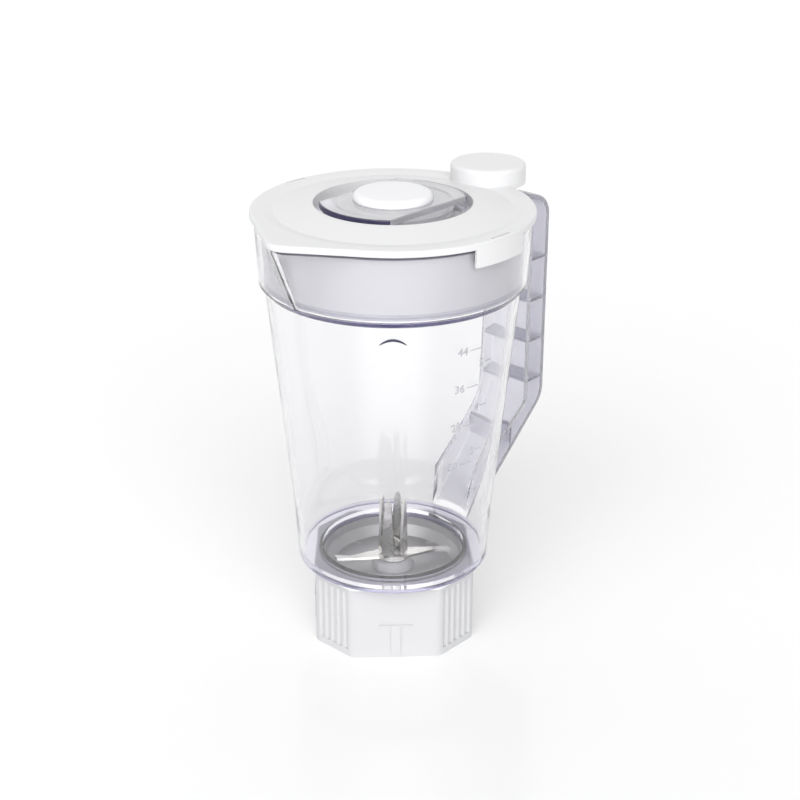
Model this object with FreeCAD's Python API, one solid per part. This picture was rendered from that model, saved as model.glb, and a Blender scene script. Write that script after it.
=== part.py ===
"""Blender jug with its lid, filler cap, blade unit and base collar, in millimetres.

The origin is the centre of the collar's bottom face, on the axis of the jug. +Z is up,
+X points to the handle and -X to the spout. Each separate piece is one STEP file in
parts/, and all pieces are in this one frame, with the jug closed and standing.
"""
import FreeCAD, Part
import math
import os
from FreeCAD import Vector

# ---- driving dimensions -------------------------------------------------------------
# Clearances.
RUNNING_CLEARANCE = 0.04      # radial, shaft in bush
SEAT_CLEARANCE = 0.02         # radial, piece fixed on a shaft
FACE_GAP = 0.1                # flat faces that may part or turn on each other
FREE_GAP = 0.3                # curved faces that pass each other

# Base collar: a square with cut corners, screwed on the neck of the jug.
COLLAR_HEIGHT = 44.4
COLLAR_FLAT = 43.4            # axis to each flat side
COLLAR_CORNER = 47.6          # axis to each cut corner
COLLAR_WALL = 1.9             # thinnest wall beside the thread, and the socket's wall
COLLAR_LEDGE_Z = 21.5         # underside of the ledge that lifts the blade unit
COLLAR_LEDGE_THICKNESS = 3.8
SOCKET_RADIUS = 38.0          # locating bore that stands over the motor housing
SOCKET_DEPTH = 9.0
SOCKET_STEP = 1.4             # the collar is this much narrower above the locating bore
LEDGE_WIDTH = 3.0             # ledge inwards of the locating bore
COLLAR_CORNER_ROUND = 6.0
COLLAR_TOP_ROUND = 1.5
GRIP_GROOVES = 5              # on each cut corner
GRIP_GROOVE_RADIUS = 2.0
GRIP_GROOVE_DEPTH = 0.9
GRIP_GROOVE_MARGIN = 4.0      # from the collar's foot, and 1 mm more from its top
MARK_RAISE = 0.7              # T-shaped lock mark on each flat side
MARK_BAR = (18.0, 1.4)        # width and thickness of its bar
MARK_STEM_WIDTH = 5.2
MARK_FOOT_Z = 2.0
MARK_BAR_Z = 19.0

# Jug, clear plastic. Heights are above its bottom rim.
JUG_RIM_GAP = 0.6             # bottom rim above the collar
JUG_WALL = 2.5
JUG_HEIGHT = 194.0
JUG_BASE_RADIUS = 52.4
JUG_KNEE_RADIUS = 54.3
JUG_KNEE_HEIGHT = 30.0
JUG_SHOULDER_RADIUS = 66.8
JUG_SHOULDER_HEIGHT = 156.5
JUG_BAND_RADIUS = 69.9
JUG_BAND_HEIGHT = 160.0
JUG_TOP_RADIUS = 71.6
FOOT_RIM_WIDTH = 2.8
FLOOR_LIFT = 1.5
FLOOR_THICKNESS = 3.0
NECK_WALL = 1.8
NECK_LENGTH = 15.0            # below the bottom rim
SPOUT_REACH = 83.0            # axis to the tip of the lip
SPOUT_TIP_RADIUS = 12.0
SPOUT_ROOT_TIP_RADIUS = 9.0
SPOUT_ROOT_STAND = 0.6        # the lip's root stands this far out of the band
SPOUT_INSET = 0.3             # the lip's sides start this far inside the wall
FOOT_ROUND = 0.9

# Handle: a channel with a wall outside, two cheeks and cross ribs, open to the jug.
HANDLE_REACH = 113.5
HANDLE_DEPTH = 15.5
HANDLE_WIDTH = 30.0
HANDLE_WALL = 2.8
HANDLE_TOP = 192.0            # heights above the bottom rim, as for the jug
HANDLE_BEND_TOP = 181.0
HANDLE_BEND_LOW = 61.0
HANDLE_FOOT = 3.0
HANDLE_ROOT_DEPTH = 23.0
HANDLE_RIB_HEIGHTS = (74.0, 98.5, 123.0, 147.5)
HANDLE_RIB_THICKNESS = 1.8
HANDLE_BEND_ROUND = 13.0      # outer radius at the top bend
HANDLE_LOW_ROUND = 16.0       # outer radius at the low bend
HANDLE_EDGE_ROUND = 2.4
FINGER_GAP_ROUND = 7.0
WALL_OVERLAP = 1.0            # the handle's arms run this far into the jug wall

# Lid.
LID_RADIUS = 73.4
LID_EDGE = 3.5
LID_SPOUT_REACH = 85.0
LID_WALL = 2.3
LID_DOME = 2.8                # rise from the edge to the filler opening
LID_SKIRT_GAP = 0.8           # radial, inside the band of the jug
LID_SKIRT_THICKNESS = 2.2
RECESS_RADIUS = 41.0
RECESS_DEPTH = 9.0
PAD_CENTRE = 75.5             # thumb pad over the handle
PAD_RADIUS = 20.5
PAD_HEIGHT = 8.6              # above the edge of the lid
PAD_EDGE_ROUND = 2.5
LID_EDGE_ROUND = 1.2
LID_FOOT_ROUND = 0.7
RIM_WIDTH = 12.0              # raised rim round the lid, with the slope inside it
GROOVE_WIDTH = 5.0            # each slope of the shallow groove inside that rim
GROOVE_DEPTH = 0.8
SLOT_SIZE = (14.0, 1.4)       # slot near the edge at each side, over the lug
SLOT_DEPTH = 0.9
SLOT_MARGIN = 1.6
LUG_SPREAD = 28.0             # degrees, lug that hangs over the band at each side
LUG_DROP = 9.0
LUG_GAP = 0.4
SEAL_HEIGHT = 2.4
SEAL_GROOVE_DEPTH = 1.0
SEAL_MARGIN = 1.0             # seal above the foot of the skirt

# Filler cap, clear plastic, also a measuring cup.
CUP_RADIUS = 31.2
CUP_WALL = 2.0
CUP_DEPTH = 27.0
CAP_PLATE_RADIUS = 38.0
CAP_PLATE_HALF_WIDTH = 24.6
CAP_PLATE_THICKNESS = 3.0
CAP_STAND = 1.4               # plate above the lid
CAP_SEAT_RADIUS = 36.0
DOME_RADIUS = 20.5
DOME_HEIGHT = 3.6
DOME_ROUND = 3.0
PLATE_EDGE_ROUND = 0.7
CAP_SEAT_THICKNESS = 2.0

# Blade unit.
CARRIER_THICKNESS = 5.5       # of the disc above its flange
HUB_RADIUS = 11.5
HUB_TOP_RADIUS = 10.0
HUB_RISE = 5.0
HUB_DROP = 3.5
GASKET_THICKNESS = 1.5
DISH_SHEET = 0.8
DISH_RIM_HEIGHT = 10.5        # rim of the dish above its floor
DISH_KNEE_HEIGHT = 5.8        # where its slope turns up into the rim
DISH_FLOOR_MARGIN = 5.2       # radial width of that slope
DISH_RIM_LEAN = 0.9
DISH_HOLE_GAP = 0.4
SPINDLE_RADIUS = 4.0
SPINDLE_TIP_RADIUS = 3.0
BUSH_RADIUS = 7.0
BUSH_LENGTH = 6.0
SHAFT_SEAL_LENGTH = 3.0
SEAL_LIP = 1.2                # depth of the shaft seal's lip
WASHER_THICKNESS = 0.9
WASHER_RADIUS = 8.0
RING_GROOVE_DEPTH = 0.7
RING_GROOVE_PLAY = 0.05
RING_WIDTH = 2.2              # retaining ring outwards of the spindle
RING_OPENING = 4.8
BLADE_SHEET = 1.5
SPACER_THICKNESS = 1.4
LOWER_BLADE_REACH = 33.0
LOWER_BLADE_TURN = -34.0      # degrees from +X
WING_HEIGHT = 34.0
WING_BASE_WIDTH = 7.0
WING_TIP_WIDTH = 3.2
WING_OFFSET = 6.6             # axis to the middle of an upright wing
WING_TURN = 20.0              # degrees from +X to the first wing
NUT_HEIGHT = 5.6
NUT_ACROSS_FLATS = 9.0
NUT_CROWN = 2.0               # closed end of the nut
COUPLING_RADIUS = 13.0
COUPLING_HEIGHT = 9.5
COUPLING_LOBES = 6
COUPLING_SLOT_WIDTH = 4.4
COUPLING_SLOT_DEPTH = 4.5
COUPLING_CAVITY = 3.0
COUPLING_GAP = 0.5            # below the retaining ring
INSERT_ACROSS_FLATS = 12.0

# ---- levels worked out from them ----------------------------------------------------
RIM_Z = COLLAR_HEIGHT + JUG_RIM_GAP
JUG_TOP_Z = RIM_Z + JUG_HEIGHT
FLOOR_TOP_Z = RIM_Z + FLOOR_LIFT + FLOOR_THICKNESS
NECK_BOTTOM_Z = RIM_Z - NECK_LENGTH
THREAD_RADIUS = COLLAR_FLAT - COLLAR_WALL
NECK_RADIUS = THREAD_RADIUS - FREE_GAP
NECK_BORE = NECK_RADIUS - NECK_WALL
CARRIER_TOP_RADIUS = NECK_BORE - FREE_GAP
FLANGE_BOTTOM_Z = COLLAR_LEDGE_Z + COLLAR_LEDGE_THICKNESS + FACE_GAP
FLANGE_TOP_Z = NECK_BOTTOM_Z - GASKET_THICKNESS
CARRIER_TOP_Z = FLANGE_TOP_Z + CARRIER_THICKNESS
HUB_TOP_Z = CARRIER_TOP_Z + HUB_RISE
HUB_BOTTOM_Z = FLANGE_BOTTOM_Z - HUB_DROP
BLADE_Z = HUB_TOP_Z + WASHER_THICKNESS + 2 * FACE_GAP
UPPER_BLADE_Z = BLADE_Z + BLADE_SHEET + SPACER_THICKNESS
NUT_Z = UPPER_BLADE_Z + BLADE_SHEET + WASHER_THICKNESS
LID_BOTTOM_Z = JUG_TOP_Z + FACE_GAP
LID_EDGE_Z = LID_BOTTOM_Z + LID_EDGE
LID_CROWN_Z = LID_EDGE_Z + LID_DOME
RECESS_FLOOR_Z = LID_CROWN_Z - RECESS_DEPTH
SKIRT_TOP_RADIUS = JUG_TOP_RADIUS - JUG_WALL - LID_SKIRT_GAP
SKIRT_LOW_RADIUS = JUG_BAND_RADIUS - JUG_WALL - LID_SKIRT_GAP
SKIRT_BOTTOM_Z = RIM_Z + JUG_BAND_HEIGHT + FREE_GAP
CAP_PLATE_Z = LID_CROWN_Z + CAP_STAND - CAP_PLATE_THICKNESS

UP = Vector(0, 0, 1)
ORIGIN = Vector(0, 0, 0)


# ---- building blocks ----------------------------------------------------------------
def cylinder(radius, bottom, top, x=0.0, y=0.0):
    return Part.makeCylinder(radius, top - bottom, Vector(x, y, bottom), UP)


def ring(inner, outer, bottom, top):
    return cylinder(outer, bottom, top).cut(cylinder(inner, bottom, top))


def turned(outline):
    """Solid of revolution about Z from a closed outline of (radius, height) points."""
    points = [Vector(radius, 0, height) for radius, height in outline]
    face = Part.Face(Part.makePolygon(points + points[:1]))
    return face.revolve(ORIGIN, UP, 360)


def plate(outline, bottom, top):
    """Flat plate from a closed outline of (x, y) points."""
    points = [Vector(x, y, bottom) for x, y in outline]
    return Part.Face(Part.makePolygon(points + points[:1])).extrude(UP * (top - bottom))


def bar(width, near, far, bottom, top):
    """Block centred across X that runs from near to far along Y."""
    half = width / 2
    return plate([(-half, near), (half, near), (half, far), (-half, far)], bottom, top)


def side_slab(outline, width):
    """Slab of a width across Y, centred, from a closed outline of (x, z) points."""
    points = [Vector(x, -width / 2, z) for x, z in outline]
    return Part.Face(Part.makePolygon(points + points[:1])).extrude(Vector(0, width, 0))


def rounded(shape, radius, chosen):
    """The shape with a fillet on each edge that the test picks."""
    edges = [edge for edge in shape.Edges if chosen(edge)]
    return shape.makeFillet(radius, edges)


def turn(shape, angle):
    copy = shape.copy()
    copy.rotate(ORIGIN, UP, angle)
    return copy


def polygon_points(count, across_flats):
    radius = across_flats / 2 / math.cos(math.pi / count)
    steps = [2 * math.pi * step / count for step in range(count)]
    return [(radius * math.cos(angle), radius * math.sin(angle)) for angle in steps]


def beak_points(body_radius, tip_radius, reach):
    """Tangent points of a round body and a round tip towards -X: body, then tip."""
    centre = reach - tip_radius
    spread = math.acos((body_radius - tip_radius) / centre)
    side = Vector(-math.cos(spread), math.sin(spread), 0)
    return side * body_radius, Vector(-centre, 0, 0) + side * tip_radius


def mirrored(point):
    return Vector(point.x, -point.y, point.z)


def beak_wire(body_radius, tip_radius, reach, height):
    """Outline of the beak alone, closed straight across between its tangent points."""
    body, tip = beak_points(body_radius, tip_radius, reach)
    lift = UP * height
    nose = Part.Arc(tip + lift, Vector(-reach, 0, height), mirrored(tip) + lift)
    edges = [Part.LineSegment(body + lift, tip + lift).toShape(), nose.toShape(),
             Part.LineSegment(mirrored(tip) + lift, mirrored(body) + lift).toShape(),
             Part.LineSegment(mirrored(body) + lift, body + lift).toShape()]
    return Part.Wire(edges)


def beak(body_low, tip_low, reach_low, z_low, body_high, tip_high, reach_high, z_high):
    wires = [beak_wire(body_low, tip_low, reach_low, z_low),
             beak_wire(body_high, tip_high, reach_high, z_high)]
    return Part.makeLoft(wires, True, True)


# ---- jug ----------------------------------------------------------------------------
def jug_wall_outline(inset):
    """(radius, height) points of the jug wall from bottom to top, moved in by inset."""
    return [(JUG_BASE_RADIUS - inset, RIM_Z),
            (JUG_KNEE_RADIUS - inset, RIM_Z + JUG_KNEE_HEIGHT),
            (JUG_SHOULDER_RADIUS - inset, RIM_Z + JUG_SHOULDER_HEIGHT),
            (JUG_BAND_RADIUS - inset, RIM_Z + JUG_BAND_HEIGHT),
            (JUG_TOP_RADIUS - inset, JUG_TOP_Z)]


def spout(inset):
    """The widening lip from the foot of the band to the top, moved in by inset."""
    root_reach = JUG_BAND_RADIUS + SPOUT_ROOT_STAND
    return beak(JUG_BAND_RADIUS - SPOUT_INSET - inset, SPOUT_ROOT_TIP_RADIUS - inset,
                root_reach - inset, RIM_Z + JUG_BAND_HEIGHT,
                JUG_TOP_RADIUS - SPOUT_INSET - inset, SPOUT_TIP_RADIUS - inset,
                SPOUT_REACH - inset, JUG_TOP_Z)


def handle_outline(inset):
    """Side view of the whole handle loop, outer edge, moved in by inset."""
    slope = inset * 0.4
    return [(JUG_SHOULDER_RADIUS - WALL_OVERLAP, RIM_Z + HANDLE_TOP - inset),
            (HANDLE_REACH - HANDLE_DEPTH - 6.0, RIM_Z + HANDLE_TOP - 4.0 - inset),
            (HANDLE_REACH - inset, RIM_Z + HANDLE_BEND_TOP - inset),
            (HANDLE_REACH - inset, RIM_Z + HANDLE_BEND_LOW + slope),
            (JUG_BASE_RADIUS - WALL_OVERLAP, RIM_Z + HANDLE_FOOT + inset + slope)]


def finger_gap_outline():
    inner = HANDLE_REACH - HANDLE_DEPTH
    return [(JUG_SHOULDER_RADIUS - WALL_OVERLAP, RIM_Z + HANDLE_BEND_TOP - HANDLE_DEPTH + 8.0),
            (inner, RIM_Z + HANDLE_BEND_TOP - HANDLE_DEPTH + 5.0),
            (inner, RIM_Z + HANDLE_BEND_LOW),
            (JUG_BASE_RADIUS - WALL_OVERLAP, RIM_Z + HANDLE_FOOT + HANDLE_ROOT_DEPTH)]


def across_edge(edge, x_low, z_low, z_high):
    """True for an edge that runs across the handle within the given corner."""
    middle = edge.CenterOfMass
    length = edge.Length
    return (abs(length - edge.BoundBox.YLength) < 1e-6 and length > HANDLE_WIDTH / 2
            and middle.x > x_low and z_low < middle.z < z_high)


def make_handle():
    loop = side_slab(handle_outline(0.0), HANDLE_WIDTH)
    inner = HANDLE_REACH - HANDLE_DEPTH
    middle_z = RIM_Z + (HANDLE_BEND_TOP + HANDLE_BEND_LOW) / 2
    loop = rounded(loop, HANDLE_BEND_ROUND,
                   lambda edge: across_edge(edge, inner + 5, middle_z, JUG_TOP_Z))
    loop = rounded(loop, HANDLE_LOW_ROUND,
                   lambda edge: across_edge(edge, inner + 5, RIM_Z, middle_z))
    loop = rounded(loop, HANDLE_EDGE_ROUND,
                   lambda edge: abs(abs(edge.CenterOfMass.y) - HANDLE_WIDTH / 2) < 1e-6
                   and edge.CenterOfMass.x > JUG_TOP_RADIUS)
    hollow = side_slab(handle_outline(HANDLE_WALL), HANDLE_WIDTH - 2 * HANDLE_WALL)
    hollow = rounded(hollow, HANDLE_BEND_ROUND - HANDLE_WALL,
                     lambda edge: across_edge(edge, inner + 5, middle_z, JUG_TOP_Z))
    hollow = rounded(hollow, HANDLE_LOW_ROUND - HANDLE_WALL,
                     lambda edge: across_edge(edge, inner + 5, RIM_Z, middle_z))
    gap = side_slab(finger_gap_outline(), 2 * HANDLE_WIDTH)
    gap = rounded(gap, FINGER_GAP_ROUND,
                  lambda edge: across_edge(edge, inner - 1, RIM_Z, JUG_TOP_Z))
    shell = loop.cut(hollow)
    half = HANDLE_RIB_THICKNESS / 2
    reach = HANDLE_REACH
    slabs = [side_slab([(inner - 5, RIM_Z + height - half), (reach, RIM_Z + height - half),
                        (reach, RIM_Z + height + half), (inner - 5, RIM_Z + height + half)],
                       HANDLE_WIDTH) for height in HANDLE_RIB_HEIGHTS]
    arm_x = (JUG_TOP_RADIUS + inner) / 2
    slabs.append(side_slab([(arm_x - half, RIM_Z), (arm_x + half, RIM_Z),
                            (arm_x + half, JUG_TOP_Z), (arm_x - half, JUG_TOP_Z)],
                           HANDLE_WIDTH))
    ribs = [slab.common(hollow) for slab in slabs]
    return shell.fuse(ribs).cut(gap)


def make_jug():
    outer = jug_wall_outline(0.0)
    body = turned([(0, RIM_Z)] + outer + [(0, JUG_TOP_Z)])
    body = body.fuse([spout(0.0), make_handle()])
    inner = jug_wall_outline(JUG_WALL)[1:]
    base_inner = JUG_BASE_RADIUS - JUG_WALL + 0.2
    inside = turned([(0, FLOOR_TOP_Z), (base_inner, FLOOR_TOP_Z)] + inner + [(0, JUG_TOP_Z)])
    body = body.cut(inside.fuse(spout(JUG_WALL)))
    under = ring(NECK_RADIUS, JUG_BASE_RADIUS - FOOT_RIM_WIDTH, RIM_Z - 1, RIM_Z + FLOOR_LIFT)
    body = body.cut(under)
    neck = cylinder(NECK_RADIUS, NECK_BOTTOM_Z, RIM_Z + FLOOR_LIFT)
    body = body.fuse(neck).cut(cylinder(NECK_BORE, NECK_BOTTOM_Z, FLOOR_TOP_Z))
    body = body.removeSplitter()
    return rounded(body, FOOT_ROUND, lambda edge: edge.BoundBox.ZLength < 1e-6
                   and abs(edge.BoundBox.ZMax - RIM_Z) < 1e-6
                   and edge.BoundBox.XMax > JUG_BASE_RADIUS - 0.1)


# ---- lid, seal and filler cap -------------------------------------------------------
def lid_plan(radius, reach, bottom, top):
    """Round plate with the beak that covers the spout."""
    nose = beak_wire(radius - 0.2, SPOUT_TIP_RADIUS, reach, bottom)
    return cylinder(radius, bottom, top).fuse(Part.Face(nose).extrude(UP * (top - bottom)))


def make_lid():
    flange = lid_plan(LID_RADIUS, LID_SPOUT_REACH, LID_BOTTOM_Z, LID_EDGE_Z).removeSplitter()
    flange = rounded(flange, LID_EDGE_ROUND, lambda edge: edge.BoundBox.ZLength < 1e-6
                     and edge.BoundBox.ZMax > LID_EDGE_Z - 1e-6)
    flange = rounded(flange, LID_FOOT_ROUND, lambda edge: edge.BoundBox.ZLength < 1e-6
                     and edge.BoundBox.ZMin < LID_BOTTOM_Z + 1e-6)
    crown_start = LID_RADIUS - RIM_WIDTH
    groove_z = LID_EDGE_Z - GROOVE_DEPTH
    crown = turned([(0, groove_z - 0.5), (crown_start, groove_z - 0.5),
                    (crown_start, groove_z), (crown_start - GROOVE_WIDTH, LID_EDGE_Z + 0.2),
                    (RECESS_RADIUS + 1, LID_CROWN_Z), (0, LID_CROWN_Z)])
    groove = turned([(crown_start - GROOVE_WIDTH, groove_z), (crown_start, groove_z),
                     (crown_start + GROOVE_WIDTH, LID_EDGE_Z),
                     (crown_start + GROOVE_WIDTH, LID_EDGE_Z + 0.1),
                     (crown_start - GROOVE_WIDTH, LID_EDGE_Z + 0.1)])
    pad = cylinder(PAD_RADIUS, LID_BOTTOM_Z + 1.2, LID_EDGE_Z + PAD_HEIGHT, PAD_CENTRE)
    pad = rounded(pad, PAD_EDGE_ROUND,
                  lambda edge: edge.BoundBox.ZMin > LID_EDGE_Z + PAD_HEIGHT - 1e-6)
    body = flange.cut(groove).fuse([crown, pad])
    skirt_top = LID_BOTTOM_Z + LID_WALL
    skirt = turned([(SKIRT_LOW_RADIUS, SKIRT_BOTTOM_Z), (SKIRT_TOP_RADIUS, LID_BOTTOM_Z),
                    (SKIRT_TOP_RADIUS, skirt_top),
                    (SKIRT_TOP_RADIUS - LID_SKIRT_THICKNESS, skirt_top),
                    (SKIRT_LOW_RADIUS - LID_SKIRT_THICKNESS, SKIRT_BOTTOM_Z)])
    well_radius = RECESS_RADIUS + LID_WALL
    skirt_inner = SKIRT_TOP_RADIUS - LID_SKIRT_THICKNESS
    under_dome = turned([(well_radius, LID_BOTTOM_Z - 1), (skirt_inner, LID_BOTTOM_Z - 1),
                         (skirt_inner, LID_EDGE_Z - 1.6),
                         (well_radius, LID_CROWN_Z - LID_WALL)])
    well = cylinder(well_radius, RECESS_FLOOR_Z - LID_WALL, LID_BOTTOM_Z + 1)
    recess = cylinder(RECESS_RADIUS, RECESS_FLOOR_Z, LID_CROWN_Z + 1)
    pad_hollow = cylinder(PAD_RADIUS - LID_WALL, LID_BOTTOM_Z,
                          LID_EDGE_Z + PAD_HEIGHT - LID_WALL, PAD_CENTRE)
    pad_hollow = pad_hollow.cut(cylinder(JUG_TOP_RADIUS, LID_BOTTOM_Z, LID_CROWN_Z + 10))
    body = body.fuse([skirt, well]).cut(under_dome).cut(recess).cut(pad_hollow)
    body = body.cut(cylinder(CUP_RADIUS + FREE_GAP, RECESS_FLOOR_Z - 5, LID_CROWN_Z))
    slot_y = LID_RADIUS - SLOT_MARGIN - SLOT_SIZE[1]
    slot = bar(SLOT_SIZE[0], slot_y, slot_y + SLOT_SIZE[1],
               LID_EDGE_Z - SLOT_DEPTH, LID_EDGE_Z + 1)
    for side in (0, 180):
        body = body.fuse(turn(make_lug(), side)).cut(turn(slot, side))
    body = body.cut(seal_groove())
    return body.removeSplitter()


def make_lug():
    """Curved lug under the edge of the lid on the +Y side, outside the band of the jug."""
    bottom = LID_BOTTOM_Z - LUG_DROP
    height = LUG_DROP + LID_FOOT_ROUND + 0.3
    sector = Part.makeCylinder(LID_RADIUS, height, Vector(0, 0, bottom), UP, LUG_SPREAD)
    lug = sector.cut(cylinder(JUG_TOP_RADIUS + LUG_GAP, bottom, LID_EDGE_Z))
    return turn(lug, 90 - LUG_SPREAD / 2)


def seal_groove():
    """Space of the seal ring at the foot of the skirt."""
    outer = SKIRT_LOW_RADIUS + LID_SKIRT_GAP
    base = SKIRT_BOTTOM_Z + SEAL_MARGIN
    return ring(SKIRT_LOW_RADIUS - SEAL_GROOVE_DEPTH, outer, base, base + SEAL_HEIGHT)


def make_lid_seal():
    base = SKIRT_BOTTOM_Z + SEAL_MARGIN
    inner = SKIRT_LOW_RADIUS - SEAL_GROOVE_DEPTH
    lip = SKIRT_LOW_RADIUS + LID_SKIRT_GAP - FREE_GAP
    return turned([(inner, base), (lip - 0.3, base), (lip, base + SEAL_HEIGHT / 2),
                   (lip - 0.3, base + SEAL_HEIGHT), (inner, base + SEAL_HEIGHT)])


def make_filler_cap():
    cup_bottom = CAP_PLATE_Z - CUP_DEPTH
    cup = cylinder(CUP_RADIUS, cup_bottom, CAP_PLATE_Z)
    disc = cylinder(CAP_PLATE_RADIUS, CAP_PLATE_Z, CAP_PLATE_Z + CAP_PLATE_THICKNESS)
    top = CAP_PLATE_Z + CAP_PLATE_THICKNESS
    middle = bar(2 * CAP_PLATE_RADIUS + 2, -CAP_PLATE_HALF_WIDTH, CAP_PLATE_HALF_WIDTH,
                 CAP_PLATE_Z, top)
    grip = disc.common(middle)
    grip = rounded(grip, PLATE_EDGE_ROUND, lambda edge: edge.BoundBox.ZLength < 1e-6
                   and edge.BoundBox.ZMax > top - 1e-6)
    dome = cylinder(DOME_RADIUS, top - 0.5, top + DOME_HEIGHT)
    dome = rounded(dome, DOME_ROUND,
                   lambda edge: edge.BoundBox.ZMin > top + DOME_HEIGHT - 1e-6)
    seat_z = RECESS_FLOOR_Z + FACE_GAP
    seat = cylinder(CAP_SEAT_RADIUS, seat_z, seat_z + CAP_SEAT_THICKNESS)
    inside = cylinder(CUP_RADIUS - CUP_WALL, cup_bottom - 1, CAP_PLATE_Z - CUP_WALL)
    return cup.fuse([grip, dome, seat]).cut(inside).removeSplitter()


# ---- base collar --------------------------------------------------------------------
def make_base_collar():
    flat = COLLAR_FLAT
    shoulder = COLLAR_CORNER * math.sqrt(2) - flat
    outline = [(flat, -shoulder), (flat, shoulder), (shoulder, flat), (-shoulder, flat),
               (-flat, shoulder), (-flat, -shoulder), (-shoulder, -flat), (shoulder, -flat)]
    body = plate(outline, 0, COLLAR_HEIGHT)
    body = rounded(body, COLLAR_CORNER_ROUND,
                   lambda edge: edge.BoundBox.ZLength > COLLAR_HEIGHT - 1)
    body = rounded(body, COLLAR_TOP_ROUND, lambda edge: edge.BoundBox.ZLength < 1e-6
                   and edge.BoundBox.ZMin > COLLAR_HEIGHT - 1e-6)
    marks = []
    for quarter in range(4):
        cross = bar(MARK_BAR[0], flat - 1, flat + MARK_RAISE,
                    MARK_BAR_Z, MARK_BAR_Z + MARK_BAR[1])
        stem = bar(MARK_STEM_WIDTH, flat - 1, flat + MARK_RAISE, MARK_FOOT_Z, MARK_BAR_Z)
        marks.append(turn(cross.fuse(stem), 90 * quarter))
    body = body.fuse(marks)
    corner_width = (flat - shoulder) * math.sqrt(2)
    pitch = corner_width / (GRIP_GROOVES + 1)
    for quarter in range(4):
        for step in range(GRIP_GROOVES):
            offset = (step - (GRIP_GROOVES - 1) / 2) * pitch
            groove = cylinder(GRIP_GROOVE_RADIUS, GRIP_GROOVE_MARGIN,
                              COLLAR_HEIGHT - GRIP_GROOVE_MARGIN - 1.0,
                              COLLAR_CORNER + GRIP_GROOVE_RADIUS - GRIP_GROOVE_DEPTH, offset)
            body = body.cut(turn(groove, 45 + 90 * quarter))
    body = turn(body, 45)
    ledge_top = COLLAR_LEDGE_Z + COLLAR_LEDGE_THICKNESS
    body = body.cut(cylinder(THREAD_RADIUS, ledge_top, COLLAR_HEIGHT))
    body = body.cut(cylinder(SOCKET_RADIUS, 0, SOCKET_DEPTH))
    body = body.cut(cylinder(SOCKET_RADIUS - SOCKET_STEP, SOCKET_DEPTH, COLLAR_LEDGE_Z))
    body = body.cut(cylinder(SOCKET_RADIUS - LEDGE_WIDTH, COLLAR_LEDGE_Z, ledge_top))
    return body.removeSplitter()


# ---- blade unit ---------------------------------------------------------------------
def make_blade_carrier():
    return turned([(BUSH_RADIUS, HUB_BOTTOM_Z), (HUB_RADIUS, HUB_BOTTOM_Z),
                   (HUB_RADIUS, FLANGE_BOTTOM_Z), (NECK_RADIUS, FLANGE_BOTTOM_Z),
                   (NECK_RADIUS, FLANGE_TOP_Z), (CARRIER_TOP_RADIUS, FLANGE_TOP_Z),
                   (CARRIER_TOP_RADIUS, CARRIER_TOP_Z), (HUB_RADIUS, CARRIER_TOP_Z),
                   (HUB_TOP_RADIUS, HUB_TOP_Z), (BUSH_RADIUS, HUB_TOP_Z)])


def make_steel_dish():
    sheet = DISH_SHEET
    floor = CARRIER_TOP_Z
    rim = floor + DISH_RIM_HEIGHT
    outer = CARRIER_TOP_RADIUS
    hole = HUB_RADIUS + DISH_HOLE_GAP
    knee = outer - DISH_RIM_LEAN
    slope = outer - DISH_FLOOR_MARGIN
    return turned([(hole, floor), (slope, floor), (knee, floor + DISH_KNEE_HEIGHT),
                   (outer, rim), (outer - sheet, rim),
                   (knee - sheet, floor + DISH_KNEE_HEIGHT + sheet / 2),
                   (slope - sheet / 2, floor + sheet), (hole, floor + sheet)])


def make_jug_gasket():
    return ring(CARRIER_TOP_RADIUS + 0.1, NECK_RADIUS, FLANGE_TOP_Z, NECK_BOTTOM_Z)


def make_lower_bush():
    bore = SPINDLE_RADIUS + RUNNING_CLEARANCE
    return ring(bore, BUSH_RADIUS, HUB_BOTTOM_Z, HUB_BOTTOM_Z + BUSH_LENGTH)


def make_upper_bush():
    bore = SPINDLE_RADIUS + RUNNING_CLEARANCE
    top = HUB_TOP_Z - SHAFT_SEAL_LENGTH - FACE_GAP
    return ring(bore, BUSH_RADIUS, top - BUSH_LENGTH, top)


def make_shaft_seal():
    bore = SPINDLE_RADIUS + RUNNING_CLEARANCE
    base = HUB_TOP_Z - SHAFT_SEAL_LENGTH
    foot = SEAL_LIP * 2 / 3
    return turned([(bore + SEAL_LIP, base), (BUSH_RADIUS, base), (BUSH_RADIUS, HUB_TOP_Z),
                   (bore + foot, HUB_TOP_Z), (bore, HUB_TOP_Z - SEAL_LIP), (bore, base + foot)])


def circlip_z():
    return HUB_BOTTOM_Z - FACE_GAP - WASHER_THICKNESS - FACE_GAP


def make_spindle():
    bottom = circlip_z() - WASHER_THICKNESS - COUPLING_HEIGHT + NUT_CROWN
    groove_top = circlip_z() + RING_GROOVE_PLAY
    groove_low = circlip_z() - WASHER_THICKNESS - RING_GROOVE_PLAY
    root = SPINDLE_RADIUS - RING_GROOVE_DEPTH
    tip_z = NUT_Z + NUT_HEIGHT - NUT_CROWN
    return turned([(0, bottom), (SPINDLE_RADIUS, bottom), (SPINDLE_RADIUS, groove_low),
                   (root, groove_low), (root, groove_top), (SPINDLE_RADIUS, groove_top),
                   (SPINDLE_RADIUS, BLADE_Z), (SPINDLE_TIP_RADIUS, BLADE_Z),
                   (SPINDLE_TIP_RADIUS, tip_z), (0, tip_z)])


def washer(bottom, outer, bore):
    return ring(bore, outer, bottom, bottom + WASHER_THICKNESS)


def make_retaining_ring():
    bottom = circlip_z() - WASHER_THICKNESS
    inner = SPINDLE_RADIUS - RING_GROOVE_DEPTH + RING_GROOVE_PLAY
    outer = SPINDLE_RADIUS + RING_WIDTH
    opening = bar(RING_OPENING, 0, outer + 1, bottom, circlip_z())
    return ring(inner, outer, bottom, circlip_z()).cut(opening)


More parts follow.
